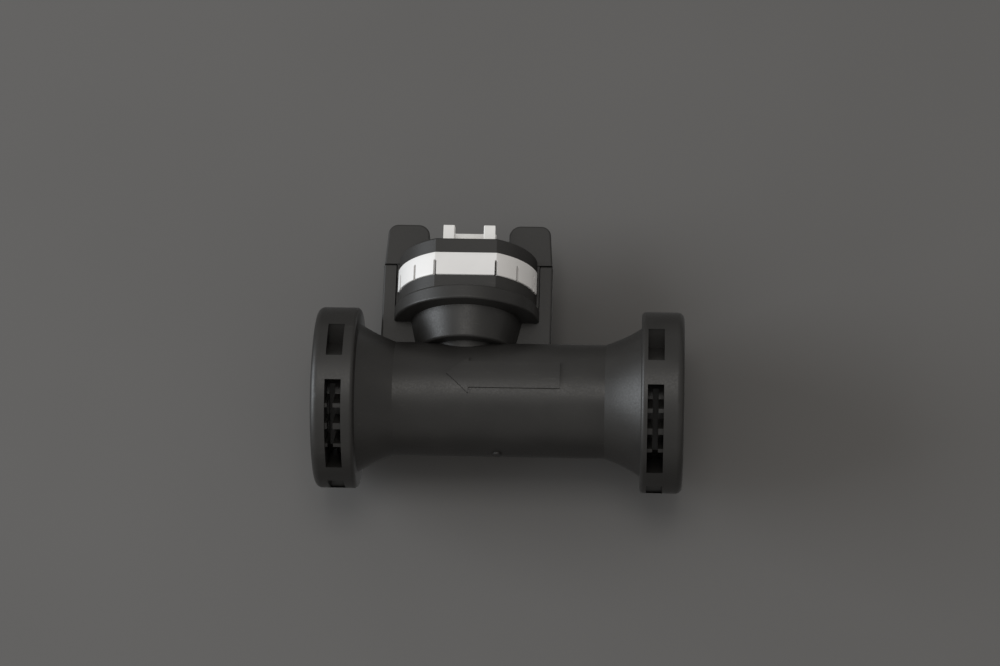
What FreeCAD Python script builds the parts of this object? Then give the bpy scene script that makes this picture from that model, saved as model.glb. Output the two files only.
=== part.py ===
import FreeCAD, Part
import math
import os
import Sketcher
from FreeCAD import Placement, Rotation, Vector

# Inline vortex flow sensor: a moulded tube with a slotted socket collar at each end and a round
# sensor head on top. Millimetres. The origin is where the tube's axis crosses the head's axis,
# +X runs along the tube towards the inlet and +Z runs up the head towards its connector.

SIZES = {
    "tube_diameter": 22.0,
    "bore_diameter": 16.0,
    "inlet_reach": 42.4,
    "outlet_reach": 28.4,
    "collar_diameter": 35.0,
    "collar_width": 8.2,
    "collar_rounding": 1.3,
    "collar_back_rounding": 0.8,
    "flare_length": 6.9,
    "flare_diameter": 28.6,
    "flare_radius": 29.0,
    "socket_diameter": 18.2,
    "socket_depth": 13.0,
    "socket_chamfer": 0.8,
    "window_width": 3.1,
    "window_floor_diameter": 22.8,
    "inlet_window_inset": 1.25,
    "outlet_window_inset": 2.3,
    "collar_turn": 40.0,
    "side_window_height": 17.8,
    "corner_window_start": 12.7,
    "corner_window_height": 4.0,
    "corner_window_web": 9.0,
    "middle_rib": 1.2,
    "outer_rib": 0.75,
    "outer_rib_spacing": 4.0,
    "rib_recess": 0.9,
    "clip_slot_width": 1.1,
    "clip_leg_width": 1.5,
    "clip_bridge_inner": 9.6,
    "outlet_slot_offset": 0.55,
    "arrow_angle": 84.0,
    "arrow_tip": 3.0,
    "arrow_barb": 1.2,
    "arrow_tail": 18.7,
    "arrow_head_width": 7.8,
    "arrow_shaft_width": 5.6,
    "arrow_height": 0.3,
    "gate_position": 6.7,
    "gate_diameter": 1.8,
    "gate_height": 0.4,
    "bluff_position": 7.4,
    "bluff_width": 3.6,
    "bluff_tail_width": 1.4,
    "bluff_length": 3.4,
    "neck_stem_diameter": 15.0,
    "neck_sink": 1.6,
    "neck_base_wall": 1.7,
    "neck_base_rounding": 0.6,
    "neck_top_wall": 2.95,
    "flange_base": 15.5,
    "flange_lip": 0.65,
    "flange_thickness": 2.95,
    "flange_rounding": 0.45,
    "cup_floor": 12.2,
    "cup_rim_height": 1.6,
    "cup_rim_wall": 2.2,
    "cover_seal_space": 1.2,
    "passage_diameter": 8.0,
    "post_width": 2.45,
    "post_rounding": 0.45,
    "post_top": 27.7,
    "post_gap": 0.25,
    "blade_thickness": 3.0,
    "paddle_clearance": 0.2,
    "paddle_disc_thickness": 2.6,
    "paddle_stem_diameter": 5.2,
    "paddle_fin_width": 4.6,
    "paddle_fin_thickness": 2.0,
    "paddle_fin_depth": 3.0,
    "fin_root": 8.0,
    "lead_well_diameter": 3.4,
    "lead_well_floor": 10.5,
    "piezo_width": 2.4,
    "piezo_thickness": 0.7,
    "piezo_foot": 1.2,
    "piezo_clearance": 0.1,
    "piezo_stand_up": 0.6,
    "lead_diameter": 0.4,
    "lead_foot": 11.2,
    "lead_spacing": 1.6,
    "paddle_seal_inset": 2.1,
    "paddle_seal_section": 1.4,
    "seal_clearance": 0.05,
    "clamp_wall": 3.4,
    "clamp_height": 2.6,
    "clamp_clearance": 0.1,
    "snap_depth": 0.4,
    "snap_offset": 0.9,
    "snap_height": 1.0,
    "cover_diameter": 27.2,
    "cover_flat_depth": 1.35,
    "cover_wall": 2.2,
    "cover_front_wall": 1.35,
    "cover_top": 28.8,
    "cover_plate": 1.3,
    "cover_rounding": 0.35,
    "ear_gap": 2.75,
    "ear_top": 36.3,
    "ear_taper": 0.45,
    "ear_step": 0.1,
    "ear_inner_rounding": 2.3,
    "ear_outer_rounding": 2.0,
    "ear_seat_gap": 0.1,
    "ear_edge_rounding": 0.4,
    "band_base": 21.0,
    "band_height": 4.75,
    "band_recess": 0.6,
    "band_proud": 0.3,
    "band_clearance": 0.05,
    "band_end": 2.8,
    "band_slit_width": 0.55,
    "band_slit_height": 3.1,
    "band_slit_inner_angle": 25.4,
    "band_slit_middle_angle": 45.9,
    "band_slit_outer_angle": 69.5,
    "board_clearance": 0.2,
    "board_thickness": 1.0,
    "pin_hole_diameter": 1.0,
    "lead_hole_diameter": 0.7,
    "header_width": 10.2,
    "header_depth": 6.4,
    "header_clearance": 0.2,
    "header_floor": 30.0,
    "header_post_width": 2.25,
    "header_post_depth": 2.0,
    "header_post_top": 35.6,
    "header_wall": 1.0,
    "header_wall_top": 36.1,
    "header_rounding": 0.2,
    "pin_pitch": 2.5,
    "pin_width": 0.64,
    "pin_offset": 1.0,
    "pin_chamfer": 0.15,
    "pin_foot": 19.2,
    "pin_tip": 33.9,
    "pin_clearance": 0.02,
    "chip_length": 5.0,
    "chip_width": 4.0,
    "chip_height": 1.4,
    "chip_leg": 0.4,
    "chip_leg_pitch": 1.27,
    "small_chip_length": 2.9,
    "small_chip_width": 1.6,
    "small_chip_height": 1.1,
    "capacitor_length": 2.0,
    "capacitor_width": 1.25,
    "resistor_length": 1.6,
    "resistor_width": 0.8,
    "resistor_height": 0.5,
    "component_gap": 0.5,
}

doc = FreeCAD.newDocument("WaterFlowSensor")
X_AXIS = Vector(1, 0, 0)
Y_AXIS = Vector(0, 1, 0)
Z_AXIS = Vector(0, 0, 1)
ROTATION_ALONG = {"X": Rotation(Y_AXIS, 90), "Y": Rotation(X_AXIS, -90), "Z": Rotation()}


class Dim:
    """A length that knows its number and the sheet formula that gives it."""

    def __init__(self, value, text):
        self.value = float(value)
        self.text = text

    def __add__(self, other):
        other = as_dim(other)
        return Dim(self.value + other.value, f"({self.text} + {other.text})")

    def __sub__(self, other):
        other = as_dim(other)
        return Dim(self.value - other.value, f"({self.text} - {other.text})")

    def __mul__(self, factor):
        return Dim(self.value * factor, f"({self.text} * {factor})")

    def __truediv__(self, divisor):
        return Dim(self.value / divisor, f"({self.text} / {divisor})")

    def __neg__(self):
        return Dim(-self.value, f"(0 - {self.text})")


def as_dim(number):
    """A plain number as a Dim, so that both can be mixed in a formula."""
    return number if isinstance(number, Dim) else Dim(number, str(number))


def half_chord(radius, offset):
    """Half the chord that a circle has at an offset from its centre."""
    length = math.sqrt(radius.value**2 - offset.value**2)
    return Dim(length, f"sqrt({radius.text} ^ 2 - {offset.text} ^ 2)")


def fill_sheet():
    """Writes the driving sizes into the sheet and returns them by name."""
    sheet = doc.addObject("Spreadsheet::Sheet", "Sizes")
    for row, (name, number) in enumerate(SIZES.items(), start=1):
        sheet.set(f"A{row}", name)
        sheet.set(f"B{row}", str(number))
        sheet.setAlias(f"B{row}", name)
    doc.recompute()
    return {name: Dim(number, f"Sizes.{name}") for name, number in SIZES.items()}


size = fill_sheet()


def bind(item, **dims):
    """Binds properties of an object to the sheet."""
    for name, dim in dims.items():
        item.setExpression(name, as_dim(dim).text)


def bind_place(item, x=0, y=0, z=0, prefix="Placement"):
    """Binds the place of an object to the sheet."""
    for letter, dim in zip("xyz", (x, y, z)):
        item.setExpression(f"{prefix}.Base.{letter}", as_dim(dim).text)


def block(name, x_low, x_high, y_low, y_high, z_low, z_high):
    """A box between two corners."""
    item = doc.addObject("Part::Box", name)
    lows = [as_dim(low) for low in (x_low, y_low, z_low)]
    highs = [as_dim(high) for high in (x_high, y_high, z_high)]
    spans = [high - low for low, high in zip(lows, highs)]
    bind(item, Length=spans[0], Width=spans[1], Height=spans[2])
    bind_place(item, *lows)
    return item


def rod(name, diameter, length, along="Z", x=0, y=0, z=0):
    """A round rod that starts at a point and runs along an axis."""
    item = doc.addObject("Part::Cylinder", name)
    item.Placement = Placement(Vector(), ROTATION_ALONG[along])
    bind(item, Radius=diameter / 2, Height=length)
    bind_place(item, x, y, z)
    return item


def ring(name, diameter, section, z):
    """A round seal ring about the head's axis."""
    item = doc.addObject("Part::Torus", name)
    bind(item, Radius1=diameter / 2, Radius2=section / 2)
    bind_place(item, z=z)
    return item


def fuse(name, items):
    """One solid out of several."""
    item = doc.addObject("Part::MultiFuse", name)
    item.Shapes = items
    return item


def common(name, items):
    """What several solids share."""
    item = doc.addObject("Part::MultiCommon", name)
    item.Shapes = items
    return item


def cut(name, base, tool):
    """A solid less another."""
    item = doc.addObject("Part::Cut", name)
    item.Base = base
    item.Tool = tool
    return item


def new_body(name):
    """An empty body whose label is its own name."""
    body = doc.addObject("PartDesign::Body", name)
    body.Label = name
    return body


def new_sketch(body, name, plane, height=0, turn=None):
    """A sketch on one of the body's origin planes, raised by a height and turned about X."""
    sketch = body.newObject("Sketcher::SketchObject", name)
    for feature in body.Origin.OriginFeatures:
        if feature.Role == f"{plane}_Plane":
            sketch.AttachmentSupport = [(feature, "")]
    sketch.MapMode = "FlatFace"
    if turn is not None:
        sketch.AttachmentOffset = Placement(Vector(), Rotation(X_AXIS, 1))
        sketch.setExpression("AttachmentOffset.Rotation.Angle", turn.text)
    bind_place(sketch, z=height, prefix="AttachmentOffset")
    return sketch


def pin_point(sketch, geometry, end, u, v):
    """Fixes one end of a line or arc at a place bound to the sheet."""
    for axis, kind, dim in ((-2, "DistanceX", u), (-1, "DistanceY", v)):
        if dim.value == 0 and not dim.text.startswith("("):
            sketch.addConstraint(Sketcher.Constraint("PointOnObject", geometry, end, axis))
            continue
        index = sketch.addConstraint(
            Sketcher.Constraint(kind, -1, 1, geometry, end, dim.value)
        )
        sketch.setExpression(f"Constraints[{index}]", dim.text)


def arc_between(start, end, radius, turn):
    """The short arc from one point to another that turns left or right."""
    chord = end - start
    middle = (start + end) / 2
    rise = math.sqrt(radius**2 - (chord.Length / 2) ** 2)
    side = Vector(-chord.y, chord.x, 0).normalize() * (rise if turn == "left" else -rise)
    centre = middle + side
    first, last = (start, end) if turn == "left" else (end, start)
    angles = [math.atan2(p.y - centre.y, p.x - centre.x) for p in (first, last)]
    circle = Part.Circle(centre, Z_AXIS, radius)
    return Part.ArcOfCircle(circle, angles[0], angles[1])


def draw_outline(sketch, points):
    """A closed outline. A point is (u, v), or (u, v, radius, turn) where an arc leaves it."""
    corners = [(as_dim(p[0]), as_dim(p[1])) for p in points]
    spots = [Vector(u.value, v.value, 0) for u, v in corners]
    ends = []
    for index, point in enumerate(points):
        start, end = spots[index], spots[(index + 1) % len(spots)]
        if len(point) == 2:
            geometry = sketch.addGeometry(Part.LineSegment(start, end), False)
            ends.append((geometry, 1, 2))
            continue
        radius, turn = point[2:]
        arc = arc_between(start, end, radius.value, turn)
        geometry = sketch.addGeometry(arc, False)
        ends.append((geometry, 1, 2) if turn == "left" else (geometry, 2, 1))
        held = sketch.addConstraint(Sketcher.Constraint("Radius", geometry, radius.value))
        sketch.setExpression(f"Constraints[{held}]", radius.text)
    for index, (geometry, first, last) in enumerate(ends):
        following = ends[(index + 1) % len(ends)]
        joint = Sketcher.Constraint("Coincident", geometry, last, following[0], following[1])
        sketch.addConstraint(joint)
        pin_point(sketch, geometry, first, *corners[index])
    return sketch


def draw_circle(sketch, u, v, diameter):
    """A circle whose centre and size are bound to the sheet."""
    u, v, radius = as_dim(u), as_dim(v), as_dim(diameter) / 2
    circle = Part.Circle(Vector(u.value, v.value, 0), Z_AXIS, radius.value)
    geometry = sketch.addGeometry(circle, False)
    pin_point(sketch, geometry, 3, u, v)
    held = sketch.addConstraint(Sketcher.Constraint("Radius", geometry, radius.value))
    sketch.setExpression(f"Constraints[{held}]", radius.text)


def draw_flatted_circle(sketch, diameter, flat):
    """A circle about the origin with one flat, which lies below the centre."""
    radius = diameter / 2
    half = math.sqrt(radius.value**2 - flat.value**2)
    low = math.atan2(-flat.value, half)
    circle = Part.Circle(Vector(), Z_AXIS, radius.value)
    arc = sketch.addGeometry(Part.ArcOfCircle(circle, low, math.pi - low), False)
    left, right = Vector(-half, -flat.value, 0), Vector(half, -flat.value, 0)
    line = sketch.addGeometry(Part.LineSegment(left, right), False)
    sketch.addConstraint(Sketcher.Constraint("Coincident", arc, 3, -1, 1))
    sketch.addConstraint(Sketcher.Constraint("Coincident", arc, 2, line, 1))
    sketch.addConstraint(Sketcher.Constraint("Coincident", line, 2, arc, 1))
    sketch.addConstraint(Sketcher.Constraint("Horizontal", line))
    held = sketch.addConstraint(Sketcher.Constraint("Radius", arc, radius.value))
    sketch.setExpression(f"Constraints[{held}]", radius.text)
    level = Sketcher.Constraint("DistanceY", -1, 1, line, 1, -flat.value)
    sketch.setExpression(f"Constraints[{sketch.addConstraint(level)}]", (-flat).text)


def revolve(body, sketch, axis, removes=False):
    """Turns a sketch once round one of its own axes, as material or as a cut."""
    kind = "PartDesign::Groove" if removes else "PartDesign::Revolution"
    feature = body.newObject(kind, sketch.Name + "_turned")
    feature.Profile = sketch
    feature.ReferenceAxis = (sketch, [axis])
    feature.Angle = 360
    body.Tip = feature
    return feature


def extrude(body, sketch, length, removes=False, centred=False, backwards=False):
    """Pushes a sketch out along its normal, as material or as a cut."""
    kind = "PartDesign::Pocket" if removes else "PartDesign::Pad"
    feature = body.newObject(kind, sketch.Name + "_pushed")
    feature.Profile = sketch
    feature.Midplane = centred
    feature.Reversed = backwards
    bind(feature, Length=length)
    body.Tip = feature
    return feature


def tube_profile(sketch):
    """Half section of the tube, its concave flares and its two collars."""
    rim, back = size["collar_rounding"], size["collar_back_rounding"]
    reach = size["collar_diameter"] / 2
    radius = size["tube_diameter"] / 2
    flare = size["flare_diameter"] / 2
    sweep = size["flare_radius"]
    outlet, inlet = -size["outlet_reach"], size["inlet_reach"]
    outlet_back = outlet + size["collar_width"]
    inlet_back = inlet - size["collar_width"]
    points = [
        (outlet, 0),
        (outlet, reach - rim, rim, "right"),
        (outlet + rim, reach),
        (outlet_back - back, reach, back, "right"),
        (outlet_back, reach - back),
        (outlet_back, flare, sweep, "left"),
        (outlet_back + size["flare_length"], radius),
        (inlet_back - size["flare_length"], radius, sweep, "left"),
        (inlet_back, flare),
        (inlet_back, reach - back, back, "right"),
        (inlet_back + back, reach),
        (inlet - rim, reach, rim, "right"),
        (inlet, reach - rim),
        (inlet, 0),
    ]
    draw_outline(sketch, points)


def bore_profile(sketch):
    """Half section of the waterway: a chamfered socket at each end and the bore between."""
    socket, bore = size["socket_diameter"] / 2, size["bore_diameter"] / 2
    chamfer, depth = size["socket_chamfer"], size["socket_depth"]
    outlet, inlet = -size["outlet_reach"], size["inlet_reach"]
    points = [
        (outlet, 0),
        (outlet, socket + chamfer),
        (outlet + chamfer, socket),
        (outlet + depth, socket),
        (outlet + depth, bore),
        (inlet - depth, bore),
        (inlet - depth, socket),
        (inlet - chamfer, socket),
        (inlet, socket + chamfer),
        (inlet, 0),
    ]
    draw_outline(sketch, points)


cover_radius = size["cover_diameter"] / 2
cover_flat = cover_radius - size["cover_flat_depth"]
cavity_radius = cover_radius - size["cover_wall"]
cavity_flat = cover_flat - size["cover_front_wall"]
cup_rim_radius = cavity_radius - size["cover_seal_space"]
cup_radius = cup_rim_radius - size["cup_rim_wall"]
post_inner = cover_radius + size["band_proud"] + size["post_gap"]
post_reach = post_inner + size["post_width"]
flange_top = size["flange_base"] + size["flange_thickness"]
cup_rim = flange_top + size["cup_rim_height"]
disc_top = size["cup_floor"] + size["paddle_disc_thickness"]
board_top = cup_rim + size["board_thickness"]
snap_base = disc_top + size["snap_offset"]
snap_top = snap_base + size["snap_height"]


def neck_profile(sketch):
    """Half section of the stem, the tapered cup on it and the ring flange round its mouth."""
    stem, flange = size["neck_stem_diameter"] / 2, cover_radius + size["flange_lip"]
    base = cup_radius + size["neck_base_wall"]
    low = size["tube_diameter"] / 2 - size["neck_sink"]
    ease, edge = size["neck_base_rounding"], size["flange_rounding"]
    points = [
        (0, 0),
        (stem, 0),
        (stem, low),
        (base - ease, low, ease, "left"),
        (base, low + ease),
        (cup_radius + size["neck_top_wall"], size["flange_base"]),
        (flange - edge, size["flange_base"], edge, "left"),
        (flange, size["flange_base"] + edge),
        (flange, flange_top - edge, edge, "left"),
        (flange - edge, flange_top),
        (cup_rim_radius, flange_top),
        (cup_rim_radius, cup_rim),
        (0, cup_rim),
    ]
    draw_outline(sketch, points)


def cup_profile(sketch):
    """Half section of the cup's inside, its snap groove and the passage down to the bore."""
    cup, snap = cup_radius, cup_radius + size["snap_depth"]
    points = [
        (0, 0),
        (size["passage_diameter"] / 2, 0),
        (size["passage_diameter"] / 2, size["cup_floor"]),
        (cup, size["cup_floor"]),
        (cup, snap_base),
        (snap, snap_base),
        (snap, snap_top),
        (cup, snap_top),
        (cup, cup_rim),
        (0, cup_rim),
    ]
    draw_outline(sketch, points)


def post_outline(sketch, side):
    """A blade that stands on the tube, backs the cup and rises beside the head as a post."""
    inner, outer = post_inner * side, post_reach * side
    root = size["neck_stem_diameter"] / 2 * side
    sunk = size["bore_diameter"] / 2
    points = [
        (root, sunk),
        (outer, sunk),
        (outer, size["post_top"]),
        (inner, size["post_top"]),
        (inner, flange_top),
        (root, flange_top),
    ]
    draw_outline(sketch, points)


def is_post_edge(edge):
    """True for the edges round a post's top and down its outer corners."""
    box = edge.BoundBox
    stands = box.XLength < 0.001 and box.YLength < 0.001 and box.ZMax > flange_top.value
    outside = abs(abs(box.XMin) - post_reach.value) < 0.001
    return lies_at(edge, size["post_top"]) or (stands and outside)


def bluff_outline(sketch):
    """Plan of the bluff body: a flat face to the flow and two sides that draw in behind it."""
    front, back = size["bluff_position"] + size["bluff_length"], size["bluff_position"]
    points = [
        (back, -size["bluff_tail_width"] / 2),
        (front, -size["bluff_width"] / 2),
        (front, size["bluff_width"] / 2),
        (back, size["bluff_tail_width"] / 2),
    ]
    draw_outline(sketch, points)


def tube_body():
    """The turned and padded forms of the flow tube, before its collars are slotted."""
    body = new_body("tube_blank")
    sketch = new_sketch(body, "tube_section", "XZ")
    tube_profile(sketch)
    revolve(body, sketch, "H_Axis")
    sketch = new_sketch(body, "neck_section", "XZ")
    neck_profile(sketch)
    revolve(body, sketch, "V_Axis")
    for name, side in (("inlet_post", 1), ("outlet_post", -1)):
        sketch = new_sketch(body, name, "XZ")
        post_outline(sketch, side)
        extrude(body, sketch, size["blade_thickness"], centred=True)
    ease_edges(body, "Fillet", size["post_rounding"], is_post_edge)
    sketch = new_sketch(body, "waterway", "XZ")
    bore_profile(sketch)
    revolve(body, sketch, "H_Axis", removes=True)
    sketch = new_sketch(body, "cup_inside", "XZ")
    cup_profile(sketch)
    revolve(body, sketch, "V_Axis", removes=True)
    sketch = new_sketch(body, "bluff_plan", "XY")
    bluff_outline(sketch)
    span = (size["bore_diameter"] + size["tube_diameter"]) / 2
    extrude(body, sketch, span, centred=True)
    return body


def flow_arrow():
    """A raised arrow that follows the tube's curve and points from inlet to outlet."""
    body = new_body("arrow_blank")
    sketch = new_sketch(body, "arrow_outline", "XY", turn=size["arrow_angle"])
    tip, barb, tail = -size["arrow_tip"], size["arrow_barb"], size["arrow_tail"]
    head, shaft = size["arrow_head_width"] / 2, size["arrow_shaft_width"] / 2
    points = [(tip, 0), (barb, -head), (barb, -shaft), (tail, -shaft)]
    points += [(tail, shaft), (barb, shaft), (barb, head)]
    draw_outline(sketch, points)
    extrude(body, sketch, size["tube_diameter"])
    outside = size["tube_diameter"] + size["arrow_height"] * 2
    start = -size["arrow_tip"]
    length = size["arrow_tip"] + size["arrow_tail"]
    skin = rod("arrow_skin", outside, length, "X", x=start)
    core = rod("arrow_core", size["tube_diameter"] - 1, length, "X", x=start)
    return common("arrow_relief", [body, cut("arrow_shell", skin, core)])


def gate_mark():
    """The small round gate mark under the tube."""
    depth = size["tube_diameter"] / 2 + size["gate_height"]
    place = size["gate_position"]
    return rod("gate_mark", size["gate_diameter"], size["gate_height"] * 3, x=place, z=-depth)


def window_blocks(name, low, high):
    """The slices between a collar's ribs and lands, from its lower windows to its upper ones."""
    half = size["side_window_height"] / 2
    reach = size["collar_diameter"]
    rib, middle = size["outer_rib"] / 2, size["middle_rib"] / 2
    spacing = size["outer_rib_spacing"]
    web = size["corner_window_web"] / 2
    start = size["corner_window_start"]
    end = start + size["corner_window_height"]
    blocks = []
    for side in (1, -1):
        spans = ((middle, spacing - rib), (spacing + rib, half))
        for near, far in spans:
            edges = sorted((near * side, far * side), key=lambda dim: dim.value)
            blocks.append(block(f"{name}_side", low, high, -reach, reach, *edges))
        edges = sorted((start * side, end * side), key=lambda dim: dim.value)
        blocks.append(block(f"{name}_corner_front", low, high, -reach, -web, *edges))
        blocks.append(block(f"{name}_corner_back", low, high, web, reach, *edges))
    return blocks


def collar_windows(name, low):
    """The cored-out windows of one collar, and the recess that sets its ribs back."""
    width = size["window_width"]
    reach = size["collar_diameter"]
    shell = rod(f"{name}_shell", reach + 2, width, "X", x=low)
    floor = rod(f"{name}_floor", size["window_floor_diameter"], width, "X", x=low)
    depth = cut(f"{name}_depth", shell, floor)
    slices = fuse(f"{name}_slices", window_blocks(name, low, low + width))
    windows = common(f"{name}_windows", [depth, slices])
    half = size["side_window_height"] / 2
    ribs = rod(f"{name}_ribs", reach - size["rib_recess"] * 2, width, "X", x=low)
    front = block(f"{name}_set_back", low, low + width, -reach, reach, -half, half)
    return [windows, cut(f"{name}_recess", common(f"{name}_front", [front, shell]), ribs)]


def clip_slot(name, middle):
    """The slot for a flat spring clip: its bridge lies in the front window, a leg each side."""
    low, high = middle - size["clip_slot_width"] / 2, middle + size["clip_slot_width"] / 2
    half = size["side_window_height"] / 2
    inner, bridge = half - size["clip_leg_width"], size["clip_bridge_inner"]
    reach = size["collar_diameter"] / 2 + 1
    return [
        block(f"{name}_bridge", low, high, -reach, -bridge, -half, half),
        block(f"{name}_upper_leg", low, high, -reach, reach, inner, half),
        block(f"{name}_lower_leg", low, high, -reach, reach, -half, -inner),
    ]


def flow_tube():
    """The moulded flow tube with slotted collars, sensor cup, posts, bluff body and arrow."""
    solid = fuse("tube_solid", [tube_body(), flow_arrow(), gate_mark()])
    width = size["window_width"]
    inlet_low = size["inlet_reach"] - size["collar_width"] + size["inlet_window_inset"]
    outlet_high = size["collar_width"] - size["outlet_reach"] - size["outlet_window_inset"]
    outlet_low = outlet_high - width
    cutters = collar_windows("inlet", inlet_low) + collar_windows("outlet", outlet_low)
    cutters += clip_slot("inlet_clip", inlet_low + width / 2)
    cutters += clip_slot("outlet_clip", outlet_low + width / 2 - size["outlet_slot_offset"])
    slots = fuse("collar_cuts", cutters)
    slots.Placement = Placement(Vector(), Rotation(X_AXIS, 1))
    bind(slots, **{"Placement.Rotation.Angle": size["collar_turn"]})
    item = cut("flow_tube", solid, slots)
    item.Refine = True
    return item


def sensor_paddle():
    """The moulded paddle: a seal disc, a stem through the cup's floor and a fin in the water."""
    body = new_body("sensor_paddle")
    disc = cup_radius - size["paddle_clearance"]
    stem = size["paddle_stem_diameter"] / 2
    middle = cup_radius - size["paddle_seal_inset"]
    half = size["paddle_seal_section"] / 2 + size["seal_clearance"]
    floor = size["cup_floor"]
    groove = floor + size["paddle_seal_section"] + size["seal_clearance"]
    sketch = new_sketch(body, "paddle_section", "XZ")
    points = [
        (0, size["fin_root"]),
        (stem, size["fin_root"]),
        (stem, floor),
        (middle - half, floor),
        (middle - half, groove),
        (middle + half, groove),
        (middle + half, floor),
        (disc, floor),
        (disc, disc_top),
        (0, disc_top),
    ]
    draw_outline(sketch, points)
    revolve(body, sketch, "V_Axis")
    sketch = new_sketch(body, "fin_outline", "XZ")
    fin, tip = size["paddle_fin_width"] / 2, -size["paddle_fin_depth"]
    draw_outline(
        sketch,
        [
            (-fin, size["fin_root"]),
            (-fin, tip + fin, fin, "left"),
            (0, tip, fin, "left"),
            (fin, tip + fin),
            (fin, size["fin_root"]),
        ],
    )
    extrude(body, sketch, size["paddle_fin_thickness"], centred=True)
    sketch = new_sketch(body, "lead_well", "XY", disc_top)
    draw_circle(sketch, 0, 0, size["lead_well_diameter"])
    extrude(body, sketch, disc_top - size["lead_well_floor"], removes=True)
    sketch = new_sketch(body, "piezo_slot", "XY", disc_top)
    long_side = size["piezo_width"] / 2 + size["piezo_clearance"]
    short_side = size["piezo_thickness"] / 2 + size["piezo_clearance"]
    corners = [(-1, -1), (1, -1), (1, 1), (-1, 1)]
    draw_outline(sketch, [(long_side * a, short_side * b) for a, b in corners])
    extrude(body, sketch, disc_top - size["piezo_foot"], removes=True)
    return body


def lead_places():
    """Where the two leads stand, one against each face of the strip."""
    out = size["lead_spacing"] / 2
    off = size["piezo_thickness"] / 2 + size["lead_diameter"] / 2
    return [(-out, -off), (out, off)]


def pin_places():
    """Where the three contact pins stand."""
    return [(size["pin_pitch"] * step, size["pin_offset"]) for step in (-1, 0, 1)]


def piezo_parts():
    """The bending strip that stands in the paddle, and its two leads up to the board."""
    width, thickness = size["piezo_width"] / 2, size["piezo_thickness"] / 2
    top = disc_top + size["piezo_stand_up"]
    foot = size["piezo_foot"]
    strip = block("piezo_element", -width, width, -thickness, thickness, foot, top)
    length = board_top - size["lead_foot"]
    leads = []
    for index, (x, y) in enumerate(lead_places(), start=1):
        name = f"piezo_lead_{index}"
        leads.append(rod(name, size["lead_diameter"], length, x=x, y=y, z=size["lead_foot"]))
    return [strip] + leads


def seals():
    """The ring under the paddle's disc, and the ring round the cup's rim under the cover."""
    section = size["paddle_seal_section"]
    inset = (cup_radius - size["paddle_seal_inset"]) * 2
    paddle = ring("paddle_seal", inset, section, size["cup_floor"] + section / 2)
    thick = size["cover_seal_space"] - size["seal_clearance"]
    middle = cavity_radius + cup_rim_radius
    return [paddle, ring("cover_seal", middle, thick, flange_top + thick / 2)]


def paddle_clamp():
    """The snap ring that holds the paddle's disc down, with notches for its tool."""
    body = new_body("paddle_clamp")
    sketch = new_sketch(body, "clamp_section", "XZ")
    inner = cup_radius - size["clamp_wall"]
    outer = cup_radius - size["clamp_clearance"]
    bead = outer + size["snap_depth"]
    gap = size["clamp_clearance"]
    top = disc_top + size["clamp_height"]
    points = [
        (inner, disc_top),
        (outer, disc_top),
        (outer, snap_base + gap),
        (bead, snap_base + gap),
        (bead, snap_top - gap),
        (outer, snap_top - gap),
        (outer, top),
        (inner, top),
    ]
    draw_outline(sketch, points)
    revolve(body, sketch, "V_Axis")
    notch = new_sketch(body, "clamp_notch", "XY", top)
    half = size["blade_thickness"] / 2
    reach = (inner + outer) / 2
    draw_outline(notch, [(-reach, -half), (reach, -half), (reach, half), (-reach, half)])
    extrude(body, notch, size["clamp_height"] / 2, removes=True)
    return body


def circuit_board():
    """The round board with a flat at the front and holes for the pins and leads."""
    body = new_body("circuit_board")
    gap = size["board_clearance"]
    sketch = new_sketch(body, "board_outline", "XY", cup_rim)
    draw_flatted_circle(sketch, (cavity_radius - gap) * 2, cavity_flat - gap)
    extrude(body, sketch, size["board_thickness"])
    sketch = new_sketch(body, "board_holes", "XY", board_top)
    for x, y in pin_places():
        draw_circle(sketch, x, y, size["pin_hole_diameter"])
    for x, y in lead_places():
        draw_circle(sketch, x, y, size["lead_hole_diameter"])
    extrude(body, sketch, size["board_thickness"], removes=True)
    return body


def draw_rectangle(sketch, u_low, u_high, v_low, v_high):
    """A rectangle between two corners."""
    corners = [(u_low, v_low), (u_high, v_low), (u_high, v_high), (u_low, v_high)]
    return draw_outline(sketch, corners)


def ease_edges(body, kind, dim, wanted):
    """Rounds or chamfers those edges of a body for which a test holds."""
    doc.recompute()
    base = body.Tip
    names = [f"Edge{i}" for i, edge in enumerate(base.Shape.Edges, start=1) if wanted(edge)]
    feature = body.newObject(f"PartDesign::{kind}", f"{body.Name}_{kind.lower()}")
    feature.Base = (base, names)
    bind(feature, **{"Radius" if kind == "Fillet" else "Size": dim})
    body.Tip = feature
    return feature


def lies_at(edge, height):
    """True where the whole edge lies at one height."""
    box = edge.BoundBox
    return abs(box.ZMin - height.value) < 0.001 and abs(box.ZMax - height.value) < 0.001


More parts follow.
